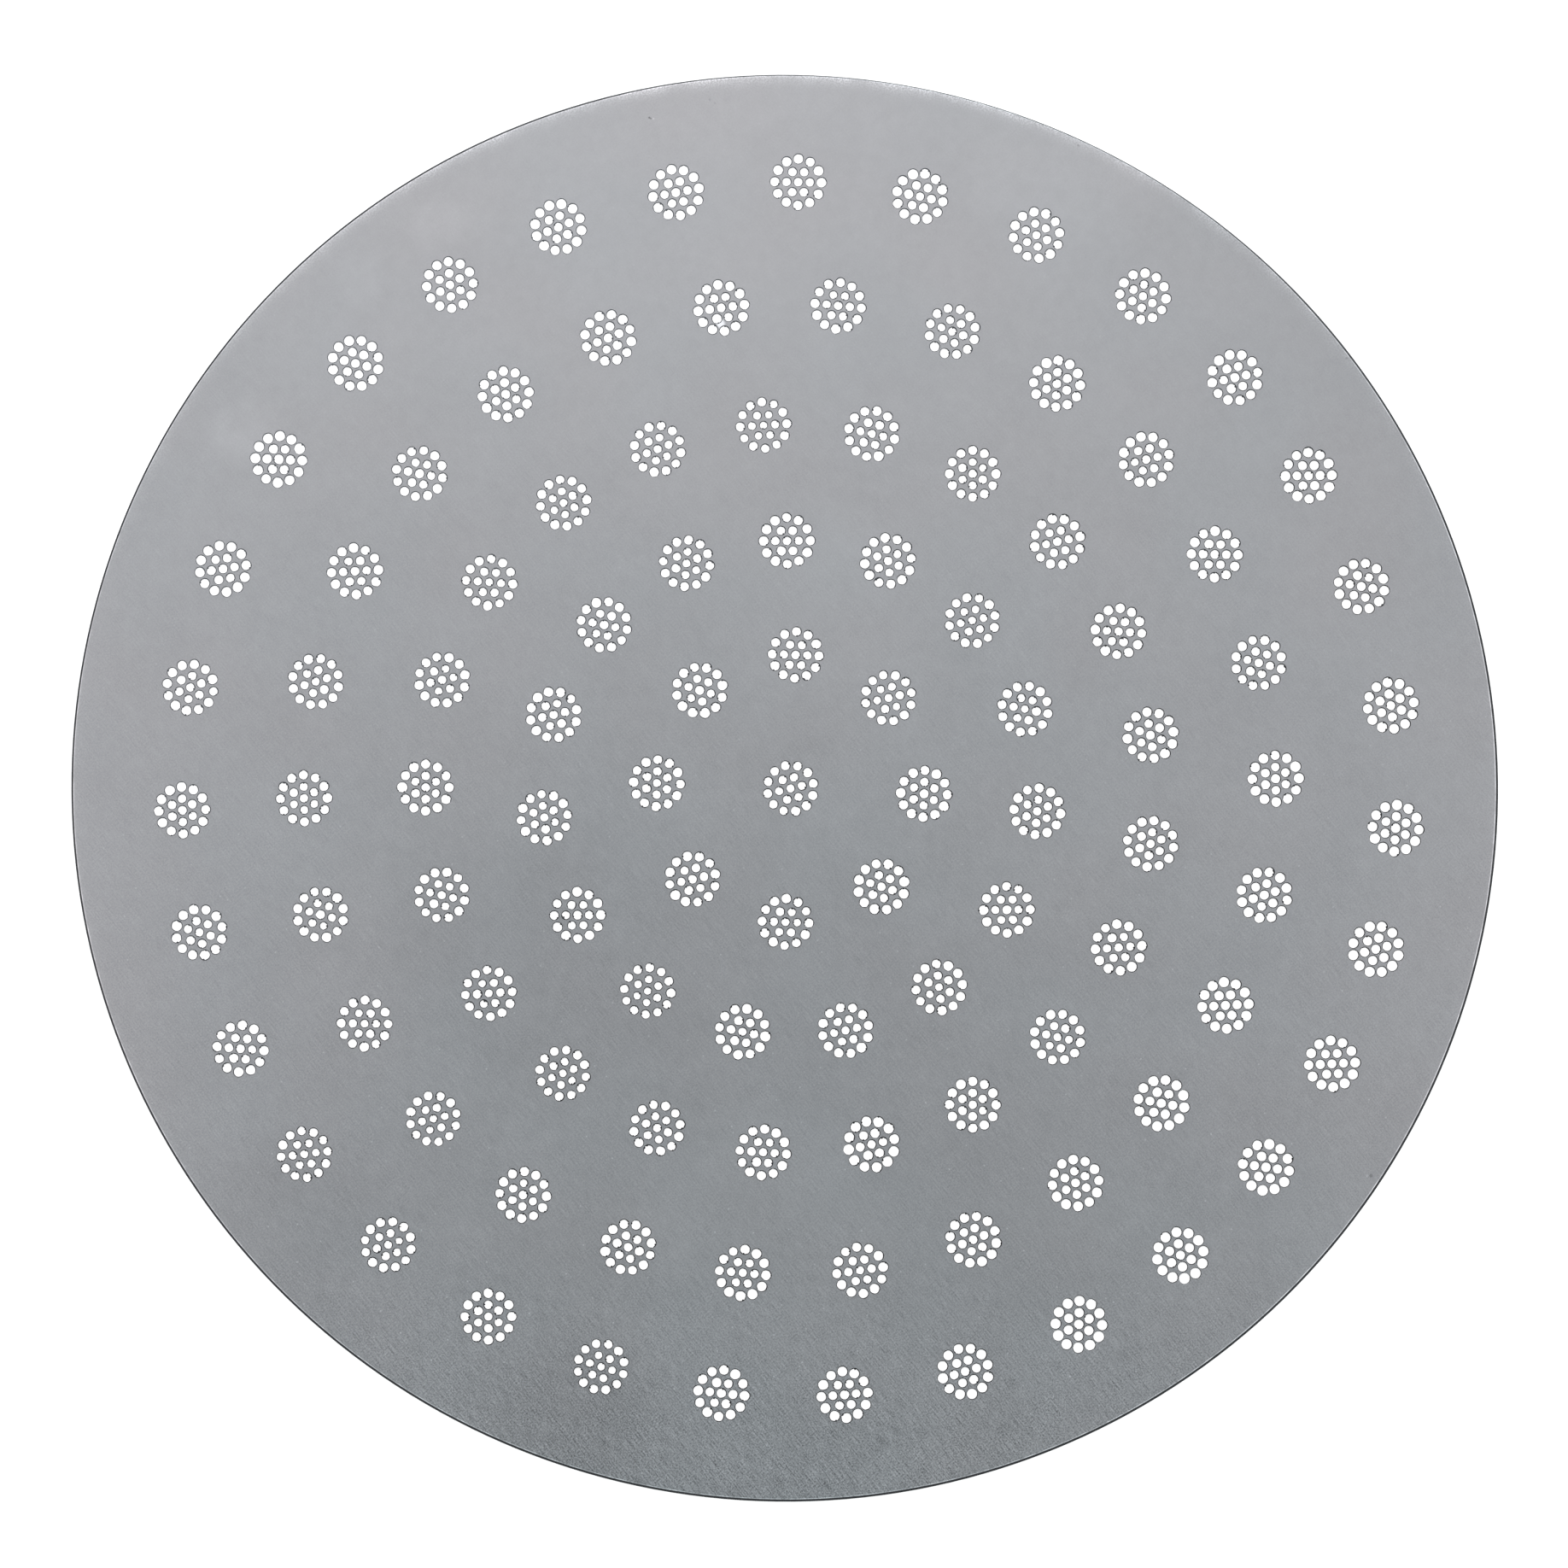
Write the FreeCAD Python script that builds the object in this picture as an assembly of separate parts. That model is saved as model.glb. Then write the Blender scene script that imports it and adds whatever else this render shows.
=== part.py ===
import FreeCAD, Part
import math
import os

# Espresso puck screen: one flat disc of thin stainless sheet that lies on the
# ground coffee in a filter basket and spreads the water through its clusters
# of fine holes. The sheet's lower face is at Z = 0, the rim is centred on the
# origin, and +X points from the middle cluster to the first one of every ring.

# Driving dimensions, in millimetres: the sheet, and the bevel on its rim.
SCREEN_DIAMETER = 58.7
SHEET_THICKNESS = 0.2
RIM_BEVEL = 0.04

# One cluster: its outermost fine holes stand evenly on a circle.
FINE_HOLE_DIAMETER = 0.38
FINE_HOLE_CIRCLE_DIAMETER = 1.92
FINE_HOLES_ON_CIRCLE = 12

# The perforated field, inside a plain border, is one cluster in the middle and
# rings of clusters in even steps. The two inner rings stand a little wider.
PLAIN_BORDER = 3.2
CLUSTER_COUNTS = (8, 15, 21, 26, 31)
RING_SHIFTS = (0.5, 0.2, 0.0, 0.0, 0.0)

# The perforation stands slightly off the centre of the rim.
PATTERN_OFFSET_X = 0.08
PATTERN_OFFSET_Y = -0.17

# The opening of a cluster is the straight-sided outline drawn round its
# outermost holes: each side touches two of them, and each corner stands
# outside one. It takes up the field of the cluster's fine holes.
screen_radius = SCREEN_DIAMETER / 2
rim_bevel = min(RIM_BEVEL, 0.4 * SHEET_THICKNESS)
corner_step = 2 * math.pi / FINE_HOLES_ON_CIRCLE
corner_stand_off = FINE_HOLE_DIAMETER / 2 / math.cos(corner_step / 2)
corner_radius = FINE_HOLE_CIRCLE_DIAMETER / 2 + corner_stand_off
last_ring_radius = screen_radius - PLAIN_BORDER - corner_radius
ring_step = last_ring_radius / len(CLUSTER_COUNTS)
up = FreeCAD.Vector(0, 0, 1)


def direction(angle):
    """The level unit vector at this angle from +X."""
    return FreeCAD.Vector(math.cos(angle), math.sin(angle), 0)


def blank_disc():
    """The disc before it is perforated, turned from its half section."""
    face_radius = screen_radius - rim_bevel
    half_section = Part.makePolygon([
        FreeCAD.Vector(0, 0, 0),
        FreeCAD.Vector(face_radius, 0, 0),
        FreeCAD.Vector(screen_radius, 0, rim_bevel),
        FreeCAD.Vector(screen_radius, 0, SHEET_THICKNESS - rim_bevel),
        FreeCAD.Vector(face_radius, 0, SHEET_THICKNESS),
        FreeCAD.Vector(0, 0, SHEET_THICKNESS),
        FreeCAD.Vector(0, 0, 0),
    ])
    return Part.Face(half_section).revolve(FreeCAD.Vector(0, 0, 0), up, 360)


def cluster_cutter(centre, turn):
    """The prism that opens one cluster, past both faces, with a corner at each hole."""
    foot = centre - up * SHEET_THICKNESS
    corners = []
    for index in range(FINE_HOLES_ON_CIRCLE + 1):
        corners.append(foot + direction(turn + index * corner_step) * corner_radius)
    return Part.Face(Part.makePolygon(corners)).extrude(up * 3 * SHEET_THICKNESS)


def cluster_cutters():
    """A cutter for every cluster: even rings, each cluster turned with its place."""
    pattern_centre = FreeCAD.Vector(PATTERN_OFFSET_X, PATTERN_OFFSET_Y, 0)
    cutters = [cluster_cutter(pattern_centre, 0)]
    for ring, cluster_count in enumerate(CLUSTER_COUNTS):
        ring_radius = ring_step * (ring + 1) + RING_SHIFTS[ring]
        for index in range(cluster_count):
            turn = 2 * math.pi * index / cluster_count
            centre = pattern_centre + direction(turn) * ring_radius
            cutters.append(cluster_cutter(centre, turn))
    return Part.makeCompound(cutters)


puck_screen = blank_disc().cut(cluster_cutters()).Solids[0]

os.makedirs("parts", exist_ok=True)
puck_screen.exportStep("parts/puck_screen.step")
print("puck_screen", puck_screen.isValid(), round(puck_screen.Volume, 3), "cubic mm")
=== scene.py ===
import math
import random

import bmesh
import bpy
from mathutils import Matrix, Vector


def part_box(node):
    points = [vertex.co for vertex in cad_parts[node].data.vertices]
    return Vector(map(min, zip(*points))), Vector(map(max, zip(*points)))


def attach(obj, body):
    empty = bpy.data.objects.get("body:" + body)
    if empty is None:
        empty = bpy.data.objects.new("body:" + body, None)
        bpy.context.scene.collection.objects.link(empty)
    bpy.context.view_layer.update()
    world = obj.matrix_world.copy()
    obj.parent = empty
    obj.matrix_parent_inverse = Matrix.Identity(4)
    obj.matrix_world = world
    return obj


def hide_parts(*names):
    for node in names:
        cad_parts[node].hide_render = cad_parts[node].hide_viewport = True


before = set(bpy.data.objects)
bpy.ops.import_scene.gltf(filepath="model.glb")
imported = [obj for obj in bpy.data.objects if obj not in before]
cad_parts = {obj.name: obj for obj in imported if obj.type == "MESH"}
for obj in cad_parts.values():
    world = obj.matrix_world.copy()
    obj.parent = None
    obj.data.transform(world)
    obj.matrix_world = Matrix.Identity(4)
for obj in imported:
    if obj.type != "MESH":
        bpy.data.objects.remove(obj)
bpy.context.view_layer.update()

# The puck screen is one disc of thin stainless sheet. Its 102 clusters of fine
# holes are etched through from both faces, so each hole is narrowest half way
# down. The sheet keeps the straight grain of its rolling, and its rim is eased.

SCREEN_LOW, SCREEN_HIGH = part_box("puck_screen")
SCREEN_RADIUS = min(-SCREEN_LOW.x, SCREEN_HIGH.x, -SCREEN_LOW.y, SCREEN_HIGH.y)
HALF_THICKNESS = (SCREEN_HIGH.z - SCREEN_LOW.z) / 2
RIM_SIDES = 256
# Each step of the eased rim: how far inside its wall it lies, and below the face.
RIM_STEPS = (
    (0.00070, 0.0),
    (0.00055, 0.0),
    (0.00035, 0.0000008),
    (0.00020, 0.0000028),
    (0.00011, 0.0000060),
    (0.00006, 0.0000105),
    (0.00003, 0.0000180),
    (0.000010, 0.0000320),
    (0.0, 0.0000500),
)

FINE_HOLE_PITCH = 0.00048
FINE_HOLE_SIDES = 14
INNER_HOLES = 6
OUTER_HOLES = 12
INNER_HOLE_RADIUS = 0.0001705
OUTER_HOLE_RADIUS = 0.0001885
# The mouth in each face is wider than the waist by the lip, up to the widest.
ETCHED_LIP = 0.000033
WIDEST_INNER_MOUTH = 0.0002340
WIDEST_OUTER_MOUTH = 0.0002430

# The etching bit deeper towards both ends of the Y axis and towards one side of
# the blank. Where it bit least, the holes are small, uneven and ragged.
GROWTH_ALONG_X = 0.000005
GROWTH_ALONG_Y = 0.000027
GROWTH_TO_SIDE = 0.0000075
STRONG_SIDE = Vector((0.734, -0.679, 0.0))
DEEPEST_GROWTH = GROWTH_ALONG_Y + GROWTH_TO_SIDE
MOST_RAGGED = 0.62
RAGGED_LOSS = 0.75
UNEVEN_CLUSTER = 0.000006
UNEVEN_HOLE = 0.000007
UNEVEN_EVERYWHERE = 0.4
RAGGED_EDGE = 0.0000028
BURR_HEIGHT = (0.000025, 0.000060)
BURR_NARROWING = 0.45

# The five rings of clusters lie at even steps, but for two small shifts, out to
# the plain border that the last ring leaves inside the rim.
CLUSTER_COUNTS = (8, 15, 21, 26, 31)
RING_SHIFTS = (0.0005, 0.0002, 0.0, 0.0, 0.0)
PATTERN_CENTRE = Vector((0.00008, -0.00017, 0.0))
PLAIN_BORDER = 0.0032
NOMINAL_HOLE_RADIUS = 0.00019
CLUSTER_REACH = 2 * FINE_HOLE_PITCH + NOMINAL_HOLE_RADIUS / math.cos(math.pi / OUTER_HOLES)
LAST_RING_RADIUS = SCREEN_RADIUS - PLAIN_BORDER - CLUSTER_REACH
# A cluster's field is the patch of the face that is made with it.
FIELD_RADIUS = 0.00132
FIELD_SIDES = 12

# Points nearer than this to each other are one.
WELD = 0.0000004
SMOOTH_ANGLE = math.radians(28)


def deselect_everything():
    """Leaves nothing selected, so that the next primitive is alone."""
    bpy.ops.object.select_all(action="DESELECT")


def settle(piece):
    """Puts a new primitive's place and turn into its mesh."""
    piece.data.transform(piece.matrix_world)
    piece.matrix_world = Matrix.Identity(4)


def join_pieces(pieces, name):
    """Joins these objects into the first of them, under a new name."""
    deselect_everything()
    for piece in pieces:
        piece.select_set(True)
    bpy.context.view_layer.objects.active = pieces[0]
    bpy.ops.object.join()
    pieces[0].name = name
    pieces[0].data.name = name
    return pieces[0]


def select_edges(piece, wanted):
    """In edit mode, selects the edges for which wanted(edge) is true, and nothing else."""
    bpy.ops.mesh.select_mode(type="EDGE")
    bpy.ops.mesh.select_all(action="DESELECT")
    mesh = bmesh.from_edit_mesh(piece.data)
    for edge in mesh.edges:
        edge.select_set(wanted(edge))
    mesh.select_flush_mode()
    bmesh.update_edit_mesh(piece.data)


def is_open_on_face(edge):
    """Whether an edge lies in the upper face and still lacks a neighbour there."""
    level = all(abs(corner.co.z - HALF_THICKNESS) < WELD for corner in edge.verts)
    return level and len(edge.link_faces) < 2


def spoke(angle):
    """The level unit vector at this angle from +X."""
    return Vector((math.cos(angle), math.sin(angle), 0))


def fine_hole_places():
    """The middle of each of the 19 holes of a cluster: one, a ring of 6, a ring of 12."""
    places = [Vector((0, 0, 0))]
    for index in range(INNER_HOLES):
        places.append(spoke(2 * math.pi * (index + 0.5) / INNER_HOLES) * FINE_HOLE_PITCH)
    for index in range(OUTER_HOLES):
        places.append(spoke(2 * math.pi * index / OUTER_HOLES) * FINE_HOLE_PITCH * 2)
    return places


def make_cluster():
    """The upper half of a cluster's walls, and the line round its field in the face."""
    pieces = []
    for place in fine_hole_places():
        bpy.ops.mesh.primitive_cone_add(
            vertices=FINE_HOLE_SIDES,
            radius1=INNER_HOLE_RADIUS,
            radius2=INNER_HOLE_RADIUS + ETCHED_LIP,
            depth=HALF_THICKNESS,
            end_fill_type="NOTHING",
            location=place + Vector((0, 0, HALF_THICKNESS / 2)),
        )
        pieces.append(bpy.context.object)
    bpy.ops.mesh.primitive_circle_add(
        vertices=FIELD_SIDES,
        radius=FIELD_RADIUS,
        location=(0, 0, HALF_THICKNESS),
    )
    pieces.append(bpy.context.object)
    for piece in pieces:
        settle(piece)
    return join_pieces(pieces, "cluster")


def cluster_places():
    """The place and turn of every cluster: the middle one, then ring by ring."""
    places = [(PATTERN_CENTRE, 0.0)]
    for ring, count in enumerate(CLUSTER_COUNTS):
        ring_radius = LAST_RING_RADIUS * (ring + 1) / len(CLUSTER_COUNTS) + RING_SHIFTS[ring]
        for index in range(count):
            turn = 2 * math.pi * index / count
            places.append((PATTERN_CENTRE + spoke(turn) * ring_radius, turn))
    return places


def etch_growth(place):
    """How much wider than the least the etching left a hole's radius at this place."""
    along = place / SCREEN_RADIUS
    to_side = along.dot(STRONG_SIDE)
    return GROWTH_ALONG_X * along.x ** 2 + GROWTH_ALONG_Y * along.y ** 2 + GROWTH_TO_SIDE * to_side


def shape_hole(corners, middle, radius, widest, ragged):
    """Gives one hole its own size, an uneven edge and, now and then, a burr or two."""
    angles = {}
    for corner in corners:
        angles[corner] = math.atan2(corner.co.y - middle.y, corner.co.x - middle.x)
    burr_angles = []
    for chance in (ragged, ragged ** 2):
        if random.random() < chance:
            burr_angles.append(random.uniform(-math.pi, math.pi))
    step = 2 * math.pi / FINE_HOLE_SIDES
    for corner in corners:
        angle = angles[corner]
        if corner.co.z > WELD:
            reach = min(radius + ETCHED_LIP + random.gauss(0, RAGGED_EDGE / 2), widest)
        else:
            reach = radius + random.gauss(0, RAGGED_EDGE * (1 + 2 * ragged))
            for burr_angle in burr_angles:
                offset = math.remainder(angle - burr_angle, 2 * math.pi)
                if abs(offset) < step / 2:
                    reach -= random.uniform(*BURR_HEIGHT)
                elif abs(offset) < step * 3 / 2:
                    angle -= math.copysign(BURR_NARROWING * step, offset)
        place = middle + spoke(angle) * reach
        corner.co = Vector((place.x, place.y, corner.co.z))


random.seed(58)
deselect_everything()
cluster = make_cluster()
copies = []
for cluster_place, turn in cluster_places():
    copy = cluster.copy()
    copy.data = cluster.data.copy()
    bpy.context.collection.objects.link(copy)
    spin = Matrix.Rotation(turn, 4, "Z")
    whole_cluster = random.gauss(0, UNEVEN_CLUSTER)
    for index, middle in enumerate(fine_hole_places()):
        corners = [
            corner for corner in copy.data.vertices
            if (corner.co.to_2d() - middle.to_2d()).length < FINE_HOLE_PITCH / 2
        ]
        growth = etch_growth(cluster_place + spin @ middle)
        ragged = max(0.0, MOST_RAGGED - RAGGED_LOSS * growth / DEEPEST_GROWTH)
        radius, widest = INNER_HOLE_RADIUS, WIDEST_INNER_MOUTH
        if index > INNER_HOLES:
            radius, widest = OUTER_HOLE_RADIUS, WIDEST_OUTER_MOUTH
        uneven = whole_cluster + random.gauss(0, UNEVEN_HOLE)
        radius += growth + uneven * (UNEVEN_EVERYWHERE + ragged)
        shape_hole(corners, middle, radius, widest, ragged)
    copy.data.transform(Matrix.Translation(cluster_place) @ spin)
    deselect_everything()
    copy.select_set(True)
    bpy.context.view_layer.objects.active = copy
    bpy.ops.object.mode_set(mode="EDIT")
    select_edges(copy, is_open_on_face)
    bpy.ops.mesh.fill(use_beauty=True)
    bpy.ops.object.mode_set(mode="OBJECT")
    copies.append(copy)
bpy.data.objects.remove(cluster)

deselect_everything()
bpy.ops.mesh.primitive_circle_add(
    vertices=RIM_SIDES,
    radius=SCREEN_RADIUS - RIM_STEPS[0][0],
    location=(0, 0, HALF_THICKNESS),
)
rim = bpy.context.object
settle(rim)
screen = join_pieces([rim] + copies, "perforated_sheet")

bpy.ops.object.mode_set(mode="EDIT")
select_edges(screen, is_open_on_face)
bpy.ops.mesh.fill(use_beauty=True)
inside_rim = SCREEN_RADIUS - RIM_STEPS[0][0] - WELD
select_edges(screen, lambda edge: min(corner.co.to_2d().length for corner in edge.verts) > inside_rim)
for before, after in zip(RIM_STEPS, RIM_STEPS[1:] + ((0.0, HALF_THICKNESS),)):
    growth = (SCREEN_RADIUS - after[0]) / (SCREEN_RADIUS - before[0])
    drop = after[1] - before[1]
    bpy.ops.mesh.extrude_edges_move(TRANSFORM_OT_translate={"value": (0, 0, -drop)})
    bpy.ops.transform.resize(value=(growth, growth, 1), center_override=(0, 0, 0))
bpy.ops.object.mode_set(mode="OBJECT")

lower_half = screen.modifiers.new("lower_half", "MIRROR")
lower_half.use_axis = (False, False, True)
lower_half.merge_threshold = WELD
bpy.ops.object.modifier_apply(modifier=lower_half.name)

bpy.ops.object.mode_set(mode="EDIT")
bpy.ops.mesh.select_all(action="SELECT")
bpy.ops.mesh.remove_doubles(threshold=WELD)
bpy.ops.mesh.normals_make_consistent(inside=False)
bpy.ops.object.mode_set(mode="OBJECT")
screen.data.transform(Matrix.Translation((0, 0, SCREEN_LOW.z + HALF_THICKNESS)))
bpy.ops.object.shade_smooth_by_angle(angle=SMOOTH_ANGLE)

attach(screen, "root")
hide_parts("puck_screen")

WARM_STEEL = (0.347, 0.355, 0.367, 1.0)
COOL_STEEL = (0.342, 0.356, 0.369, 1.0)
# The colour of the painted shade along the rim's very edge.
EDGE_SHADE_COLOUR = (0.020, 0.021, 0.024, 1.0)
CLOUD_ROUGHNESS = (0.41, 0.43)
STREAK_ROUGHNESS = 0.02
# The walls' near-black colour is the dull etched finish, darkened further as painted shade in the holes and
# on the rim's wall.
ETCHED_AND_SHADED_COLOUR = (0.042, 0.044, 0.048)
ETCHED_ROUGHNESS = 0.75
ETCHED_SHINE = 0.2
# A wall, of a hole or of the rim, is where a face's normal rises less than this.
WALL_RISE = 0.8

# How many cells each pattern has to a metre.
WIDE_TINT_SCALE = 140.0
CLOUD_SCALE = 260.0
PATCH_SCALE = 900.0
LOOSE_GRIT_SCALE = 900.0
MOTTLE_SCALE = 2400.0
FINE_GRIT_SCALE = 15000.0
PIT_SCALE = 30000.0

# The grain is streaks of this length and width with fine grit between them. Its
# tones in the colour go from faint to plain over the sheet, and grow once more at
# the end: this growth is a painted glint on the grain.
# Here and below, a pair of values goes from opposite the side to towards it.
GRAIN_ANGLE = math.radians(85.6)
STREAK_LENGTH = 0.00070
STREAK_WIDTH = 0.000050
STREAK_SHARE = 0.96
GRIT_SHARE = 1.5
GRAIN_GLINT_DEPTH = (0.07, 0.24)
LAST_GRAIN_GLINT_DEPTH = 0.54
RELIEF_HEIGHT = 0.0000010

# The grain stands out most towards GLINTING_GRAIN_SIDE, as a painted glint, and
# the painted light on the etched walls makes them palest towards LIT_WALL_SIDE.
# The rim's very edge is painted dark as shade, least so opposite DARK_EDGE_SIDE.
# Just inside it runs a painted highlight in a thin line, most of all towards
# HIGHLIGHT_LINE_SIDE, and in a soft band opposite where the grain glints most.
GLINTING_GRAIN_SIDE = Vector((-0.679, -0.734, 0.0))
LIT_WALL_SIDE = Vector((0.2215, 0.9752, 0.0))
DARK_EDGE_SIDE = Vector((-0.856, -0.517, 0.0))
DARK_EDGE_WIDTH = (0.000026, 0.000070)
DARK_EDGE_GROWTH = 0.000024
DARK_EDGE_STRENGTH = (0.8, 1.0)
HIGHLIGHT_LINE_SIDE = Vector((-0.137, -0.991, 0.0))
HIGHLIGHT_LINE_WIDTH = 0.000030
HIGHLIGHT_LINE_STRENGTH = (0.6, 1.5)
HIGHLIGHT_BAND_WIDTH = 0.00090
HIGHLIGHT_BAND_STRENGTH = (0.57, 0.02)
HIGHLIGHT_BAND_FALL = 4.0
EDGE_BLUR = 0.000008

CLOUD_STRENGTH = 0.036
MOTTLE_STRENGTH = 0.022
GRIT_GLINT_STRENGTH = 0.5

# Marks on the face, and one painted glint: a place, a radius, and how much paler or
# darker it is. A mark has its full strength out to MARK_CORE of its radius.
MARK_CORE = 0.35
PALE_SMUDGES = (
    ((-0.0063, 0.0262, 0), 0.0021, 0.075),
    ((0.0056, 0.0266, 0), 0.0019, 0.055),
    ((0.0012, 0.0272, 0), 0.0015, 0.035),
)
SMALL_MARKS_AND_GLINT = (
    ((0.01458, 0.02404, 0), 0.000060, -0.50),
    ((0.01460, 0.02397, 0), 0.000050, -0.40),
    ((0.01468, 0.02389, 0), 0.000055, 0.30),
    ((0.01692, 0.02290, 0), 0.000070, -0.16),
    ((0.01698, 0.02265, 0), 0.000060, -0.14),
    ((0.00681, -0.02806, 0), 0.000110, -0.25),
    ((0.00668, -0.02795, 0), 0.000080, 0.20),
    ((0.02683, 0.01123, 0), 0.000070, -0.30),
    ((0.02900, -0.00271, 0), 0.000065, -0.25),
    # A painted glint: a bright spot on the webs between three holes.
    ((0.01096, 0.01582, 0), 0.000250, 1.25),
)
BROAD_MARKS = (
    ((-0.0116, 0.0019, 0), 0.0085, -0.05),
    ((-0.0139, -0.0136, 0), 0.0080, 0.05),
    ((-0.0242, -0.0131, 0), 0.0050, -0.07),
    ((-0.0267, 0.0006, 0), 0.0050, -0.05),
    ((0.0066, 0.0038, 0), 0.0060, 0.035),
    ((0.0255, 0.0113, 0), 0.0050, 0.03),
)


def make_material(name):
    """A new node material, with its tree and its one shader."""
    material = bpy.data.materials.new(name)
    material.use_nodes = True
    return material, material.node_tree, material.node_tree.nodes["Principled BSDF"]


def add_node(tree, kind, **settings):
    """A new node of this kind, with its settings made."""
    node = tree.nodes.new(kind)
    for name, value in settings.items():
        setattr(node, name, value)
    return node


def add_noise(tree, vector, scale, detail, roughness=0.5):
    """A noise pattern over the given coordinates, as its output from 0 to 1."""
    noise = add_node(tree, "ShaderNodeTexNoise")
    noise.inputs["Scale"].default_value = scale
    noise.inputs["Detail"].default_value = detail
    noise.inputs["Roughness"].default_value = roughness
    tree.links.new(vector, noise.inputs["Vector"])
    return noise.outputs["Fac"]


def remap(tree, value, low, high, new_low, new_high, smooth=False):
    """The value moved from one range to another, and held inside it."""
    node = add_node(tree, "ShaderNodeMapRange")
    node.interpolation_type = "SMOOTHSTEP" if smooth else "LINEAR"
    node.inputs["From Min"].default_value = low
    node.inputs["From Max"].default_value = high
    node.inputs["To Min"].default_value = new_low
    node.inputs["To Max"].default_value = new_high
    tree.links.new(value, node.inputs["Value"])
    return node.outputs["Result"]


def combine(tree, operation, *parts):
    """The sum, product or the like of several outputs or numbers, from left to right."""
    result = parts[0]
    for part in parts[1:]:
        node = add_node(tree, "ShaderNodeMath", operation=operation)
        for socket, value in zip(node.inputs, (result, part)):
            if isinstance(value, (int, float)):
                socket.default_value = value
            else:
                tree.links.new(value, socket)
        result = node.outputs["Value"]
    return result


def mix_colours(tree, factor, first, second):
    """A blend of two colours: each is an output or a plain colour."""
    node = add_node(tree, "ShaderNodeMix", data_type="RGBA")
    tree.links.new(factor, node.inputs["Factor"])
    for socket, value in zip((node.inputs[6], node.inputs[7]), (first, second)):
        if isinstance(value, tuple):
            socket.default_value = value
        else:
            tree.links.new(value, socket)
    return node.outputs[2]


def measure(tree, operation, vector, other):
    """A distance or product of a vector output and a fixed vector, as one number."""
    node = add_node(tree, "ShaderNodeVectorMath", operation=operation)
    tree.links.new(vector, node.inputs[0])
    node.inputs[1].default_value = other
    return node.outputs["Value"]


def towards(tree, where, side):
    """How far a point lies towards a side of the sheet: 1 at the rim there, -1 opposite."""
    return combine(tree, "DIVIDE", measure(tree, "DOT_PRODUCT", where, side), SCREEN_RADIUS)


def add_mark(tree, where, place, radius, strength):
    """A soft round mark: its strength in the middle, and nothing past its radius."""
    offset = measure(tree, "DISTANCE", where, place)
    return remap(tree, offset, MARK_CORE * radius, radius, strength, 0.0, smooth=True)


steel, tree, surface = make_material("satin_stainless")
where = add_node(tree, "ShaderNodeTexCoord").outputs["Object"]
flatten = add_node(tree, "ShaderNodeMapping")
flatten.inputs["Scale"].default_value = (1, 1, 0)
tree.links.new(where, flatten.inputs["Vector"])
flat = flatten.outputs["Vector"]
along_grain = add_node(tree, "ShaderNodeMapping", vector_type="TEXTURE")
along_grain.inputs["Rotation"].default_value = (0, 0, GRAIN_ANGLE)
along_grain.inputs["Scale"].default_value = (STREAK_LENGTH, STREAK_WIDTH, STREAK_WIDTH)
tree.links.new(where, along_grain.inputs["Vector"])
streaks = add_noise(tree, along_grain.outputs["Vector"], 1.0, 0.0)
clouds = add_noise(tree, where, CLOUD_SCALE, 4.0, 0.6)
wide_tint = add_noise(tree, where, WIDE_TINT_SCALE, 1.0)
patches = add_noise(tree, where, PATCH_SCALE, 3.0)
mottle = add_noise(tree, where, MOTTLE_SCALE, 1.0)
fine_grit = add_noise(tree, where, FINE_GRIT_SCALE, 0.0)
grits = add_node(tree, "ShaderNodeTexVoronoi", voronoi_dimensions="2D")
grits.inputs["Scale"].default_value = LOOSE_GRIT_SCALE
tree.links.new(flat, grits.inputs["Vector"])

# How far inside the rim a point lies, and the painted shade, the painted highlight
# line and the soft painted highlight band along it.
depth = combine(tree, "SUBTRACT", SCREEN_RADIUS, measure(tree, "DISTANCE", flat, (0, 0, 0)))
to_glinting_grain = towards(tree, flat, GLINTING_GRAIN_SIDE)
to_dark = towards(tree, flat, DARK_EDGE_SIDE)
to_line = towards(tree, flat, HIGHLIGHT_LINE_SIDE)
edge_width = combine(
    tree,
    "ADD",
    remap(tree, to_dark, -1.0, -0.85, *DARK_EDGE_WIDTH),
    remap(tree, to_line, -0.9, 0.9, 0.0, DARK_EDGE_GROWTH),
)
past_edge = combine(tree, "SUBTRACT", depth, edge_width)
# Painted shade: the rim's outermost strip is darkened nearly to black and made less metallic, least so
# opposite one side.
painted_edge_shade = combine(
    tree,
    "MULTIPLY",
    remap(tree, past_edge, -1.5 * EDGE_BLUR, EDGE_BLUR, 1.0, 0.0),
    remap(tree, to_dark, -1.0, -0.6, *DARK_EDGE_STRENGTH),
)
# A painted highlight: a thin pale line just inside the painted edge shade, brightest towards one side and
# broken up by the mottle.
line = combine(
    tree,
    "MULTIPLY",
    remap(tree, past_edge, 0.0, EDGE_BLUR, 0.0, 1.0),
    remap(tree, past_edge, 0.5 * HIGHLIGHT_LINE_WIDTH, 1.5 * HIGHLIGHT_LINE_WIDTH, 1.0, 0.0),
    remap(tree, to_line, -0.6, 1.0, *HIGHLIGHT_LINE_STRENGTH),
    remap(tree, mottle, 0.35, 0.65, 0.5, 1.3),
)
# A painted highlight: a soft pale band along the inside of the rim, in speckled patches, strongest opposite
# the side where the grain glints.
nearness = remap(tree, depth, 0.0, HIGHLIGHT_BAND_WIDTH, 1.0, 0.0)
band = combine(
    tree,
    "MULTIPLY",
    combine(tree, "POWER", nearness, HIGHLIGHT_BAND_FALL),
    remap(tree, patches, 0.38, 0.64, 0.65, 1.45),
    remap(tree, fine_grit, 0.35, 0.65, 0.4, 1.6),
    remap(tree, to_glinting_grain, -1.0, -0.3, *HIGHLIGHT_BAND_STRENGTH),
)

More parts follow.
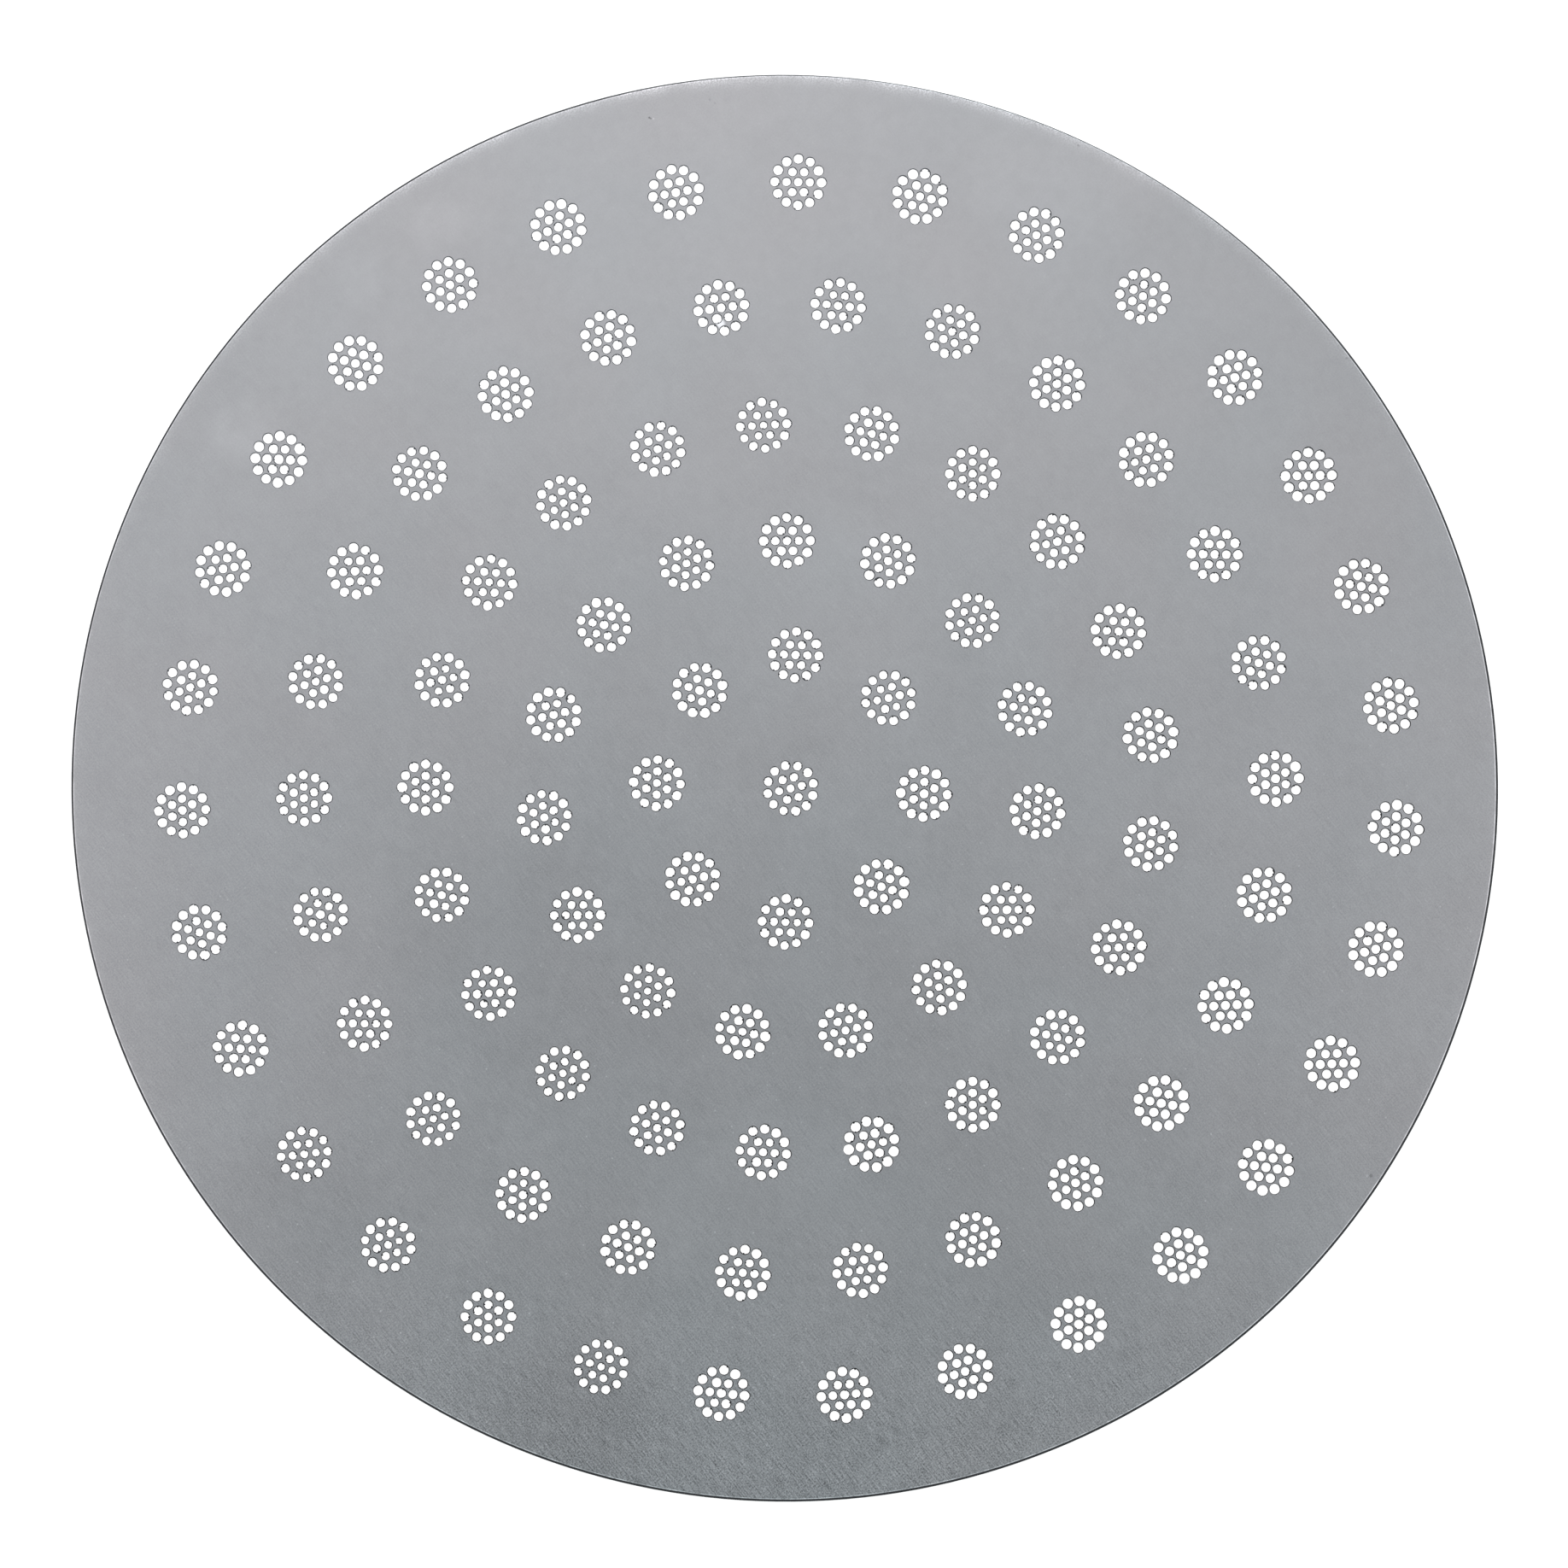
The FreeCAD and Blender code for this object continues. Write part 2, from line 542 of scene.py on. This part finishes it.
# How strong the grain's painted glint is here, and the grain's pale and dark
# tones, which are 0 on average.
grain_glint_depth = combine(
    tree,
    "ADD",
    remap(tree, to_glinting_grain, -0.7, 0.6, *GRAIN_GLINT_DEPTH),
    remap(tree, to_glinting_grain, 0.6, 1.0, 0.0, LAST_GRAIN_GLINT_DEPTH, smooth=True),
)
grain_and_glint = combine(
    tree,
    "ADD",
    combine(tree, "MULTIPLY", streaks, STREAK_SHARE),
    combine(tree, "MULTIPLY", fine_grit, GRIT_SHARE),
    -(STREAK_SHARE + GRIT_SHARE) / 2,
)
grain_and_glint = combine(tree, "MULTIPLY", grain_and_glint, grain_glint_depth, remap(tree, patches, 0.36, 0.64, 0.86, 1.14))

# A few loose grits, too small to have a shape, painted pale as glints where they
# catch the light, most towards the side where the grain glints.
chosen = add_node(tree, "ShaderNodeSeparateXYZ")
tree.links.new(grits.outputs["Color"], chosen.inputs["Vector"])
grit_glint = combine(
    tree,
    "MULTIPLY",
    remap(tree, grits.outputs["Distance"], 0.018, 0.040, GRIT_GLINT_STRENGTH, 0.0),
    remap(tree, chosen.outputs["X"], 0.72, 0.76, 0.0, 1.0),
    remap(tree, to_glinting_grain, -0.4, 0.9, 0.15, 1.0),
)

# The sheet's colour is its tint times the sum of all these tones.
tones = [
    1.0,
    grain_and_glint,
    line,
    band,
    remap(tree, clouds, 0.3, 0.7, -CLOUD_STRENGTH, CLOUD_STRENGTH),
    remap(tree, mottle, 0.25, 0.75, -MOTTLE_STRENGTH, MOTTLE_STRENGTH),
    grit_glint,
]
for place, radius, strength in SMALL_MARKS_AND_GLINT + BROAD_MARKS:
    tones.append(add_mark(tree, flat, place, radius, strength))
for place, radius, strength in PALE_SMUDGES:
    smudge = add_mark(tree, flat, place, radius, strength)
    tones.append(combine(tree, "MULTIPLY", smudge, remap(tree, clouds, 0.35, 0.6, 0.3, 1.3)))
tint = mix_colours(tree, remap(tree, wide_tint, 0.35, 0.65, 0.0, 1.0), WARM_STEEL, COOL_STEEL)
shaded = add_node(tree, "ShaderNodeVectorMath", operation="SCALE")
tree.links.new(tint, shaded.inputs[0])
tree.links.new(combine(tree, "ADD", *tones), shaded.inputs["Scale"])
# The painted edge shade covers the sheet's colour and takes its metal away there.
face_colour = mix_colours(tree, painted_edge_shade, shaded.outputs["Vector"], EDGE_SHADE_COLOUR)
tree.links.new(face_colour, surface.inputs["Base Color"])
tree.links.new(combine(tree, "SUBTRACT", 1.0, painted_edge_shade), surface.inputs["Metallic"])
rough = combine(
    tree,
    "ADD",
    remap(tree, clouds, 0.3, 0.7, *CLOUD_ROUGHNESS),
    remap(tree, streaks, 0.2, 0.8, -STREAK_ROUGHNESS, STREAK_ROUGHNESS),
)
tree.links.new(rough, surface.inputs["Roughness"])
relief = add_node(tree, "ShaderNodeBump")
relief.inputs["Strength"].default_value = 1.0
relief.inputs["Distance"].default_value = RELIEF_HEIGHT
tree.links.new(streaks, relief.inputs["Height"])
tree.links.new(relief.outputs["Normal"], surface.inputs["Normal"])
screen.data.materials.append(steel)

# The walls of the holes and the rim: painted shade over the etched finish, with painted light that makes
# them paler towards one side.
etched_and_shaded, tree, surface = make_material("etched_and_shaded_wall")
where = add_node(tree, "ShaderNodeTexCoord").outputs["Object"]
pits = add_noise(tree, where, PIT_SCALE, 2.0)
to_lit_wall = towards(tree, where, LIT_WALL_SIDE)
# Painted light: the walls grow up to about four times paler towards one side.
painted_wall_light = combine(
    tree,
    "ADD",
    remap(tree, to_lit_wall, -0.9, -0.2, 0.6, 1.0),
    remap(tree, to_lit_wall, -0.2, 0.8, 0.0, 3.3),
)
wall_tone = combine(tree, "MULTIPLY", painted_wall_light, remap(tree, pits, 0.3, 0.7, 0.7, 1.3))
shaded = add_node(tree, "ShaderNodeVectorMath", operation="SCALE")
shaded.inputs[0].default_value = ETCHED_AND_SHADED_COLOUR
tree.links.new(wall_tone, shaded.inputs["Scale"])
tree.links.new(shaded.outputs["Vector"], surface.inputs["Base Color"])
surface.inputs["Metallic"].default_value = 0.0
surface.inputs["Roughness"].default_value = ETCHED_ROUGHNESS
surface.inputs["Specular IOR Level"].default_value = ETCHED_SHINE
screen.data.materials.append(etched_and_shaded)

for face in screen.data.polygons:
    face.material_index = 1 if abs(face.normal.z) < WALL_RISE else 0

# The floor is a plain pale board that the screen lies on. It glows where the
# camera sees it, straight or in the steel, so that it comes out white.

FLOOR_SIZE = 3.0
FLOOR_GAP = 0.00001
FLOOR_COLOUR = (0.8, 0.8, 0.8, 1.0)
FLOOR_ROUGHNESS = 0.9
FLOOR_GLOW = 0.75

deselect_everything()
bpy.ops.mesh.primitive_plane_add(size=FLOOR_SIZE, location=(0, 0, SCREEN_LOW.z - FLOOR_GAP))
floor = bpy.context.object
floor.name = "floor"
board, tree, surface = make_material("pale_board")
surface.inputs["Base Color"].default_value = FLOOR_COLOUR
surface.inputs["Roughness"].default_value = FLOOR_ROUGHNESS
surface.inputs["Emission Color"].default_value = (1, 1, 1, 1)
ray = add_node(tree, "ShaderNodeLightPath")
seen = combine(
    tree,
    "MAXIMUM",
    ray.outputs["Is Camera Ray"],
    ray.outputs["Is Glossy Ray"],
    ray.outputs["Is Transmission Ray"],
)
tree.links.new(combine(tree, "MULTIPLY", seen, FLOOR_GLOW), surface.inputs["Emission Strength"])
floor.data.materials.append(board)

# The room round the screen is one even light from all sides, a little cooler than
# the lamps.

ROOM_COLOUR = (0.464, 0.521, 0.533, 1.0)

world = bpy.data.worlds.new("studio")
bpy.context.scene.world = world
world.use_nodes = True
backdrop = world.node_tree.nodes["Background"]
backdrop.inputs["Color"].default_value = ROOM_COLOUR
backdrop.inputs["Strength"].default_value = 1.0

# The camera: nearly square over the screen and far off, with a long lens. The
# photo's upright direction lies at an angle to the screen's own axes.

PHOTO_SIDE = 1836
RIM_IN_PHOTO = 1672.7
RIM_CENTRE_FROM_MIDDLE = (2.82, -3.12)
FIRST_CLUSTERS_ANGLE = math.radians(42.827)
CAMERA_BEARING = Vector((-0.0485, -0.0452, 0.9978))
CAMERA_DISTANCE = 0.620
SENSOR_WIDTH = 36.0
CLIP_RANGE = (0.01, 10.0)

photo_right = Vector((math.cos(FIRST_CLUSTERS_ANGLE), -math.sin(FIRST_CLUSTERS_ANGLE), 0))
photo_up = Vector((math.sin(FIRST_CLUSTERS_ANGLE), math.cos(FIRST_CLUSTERS_ANGLE), 0))


def photo_place(x, y, z):
    """A place given along the photo's own right, up and towards the viewer."""
    return photo_right * x + photo_up * y + Vector((0, 0, z))


towards_camera = photo_place(*CAMERA_BEARING).normalized()
pixel = 2 * SCREEN_RADIUS / RIM_IN_PHOTO
camera_place = Vector((0, 0, SCREEN_HIGH.z)) + towards_camera * CAMERA_DISTANCE
rim_right, rim_up = RIM_CENTRE_FROM_MIDDLE
aim = photo_place(-rim_right * pixel, -rim_up * pixel, SCREEN_HIGH.z)
back = (camera_place - aim).normalized()
right = photo_up.cross(back).normalized()
up = back.cross(right)

camera_data = bpy.data.cameras.new("camera")
camera = bpy.data.objects.new("camera", camera_data)
bpy.context.collection.objects.link(camera)
camera.matrix_world = Matrix.Translation(camera_place) @ Matrix((right, up, back)).transposed().to_4x4()
camera_data.sensor_width = SENSOR_WIDTH
camera_data.lens = SENSOR_WIDTH * CAMERA_DISTANCE / (PHOTO_SIDE * pixel)
camera_data.clip_start, camera_data.clip_end = CLIP_RANGE
bpy.context.scene.camera = camera

# The lamps: three small softboxes close over the screen. The one towards the
# photo's top gives the bright half, and one at each side lifts the edges.

SOFTBOXES = (
    # name, place, size, the point it faces, colour, radiance
    ("far_softbox", (-0.0030, 0.0582, 0.0900), 0.0814, (-0.0021, 0.0400, 0), (1.0, 0.906, 0.909), 1.388),
    ("left_softbox", (-0.0626, -0.0086, 0.0903), 0.0600, (-0.0400, -0.0400, 0), (1.0, 0.859, 0.864), 1.472),
    ("right_softbox", (0.0594, -0.0078, 0.0900), 0.0600, (-0.0150, -0.0400, 0), (1.0, 0.857, 0.860), 1.122),
)


def add_softbox(name, place, size, aim_at, colour, radiance):
    """A square lamp that faces a point on the screen, with the light it gives off."""
    lamp_data = bpy.data.lights.new(name, "AREA")
    lamp_data.shape = "SQUARE"
    lamp_data.size = size
    lamp_data.color = colour
    lamp_data.energy = radiance * math.pi * size ** 2
    lamp = bpy.data.objects.new(name, lamp_data)
    bpy.context.collection.objects.link(lamp)
    lamp.location = place
    lamp.rotation_euler = (place - aim_at).to_track_quat("Z", "Y").to_euler()
    lamp.visible_camera = False


for name, place, size, aim_at, colour, radiance in SOFTBOXES:
    add_softbox(name, photo_place(*place), size, photo_place(*aim_at), colour, radiance)

bpy.context.scene.view_settings.view_transform = "Standard"
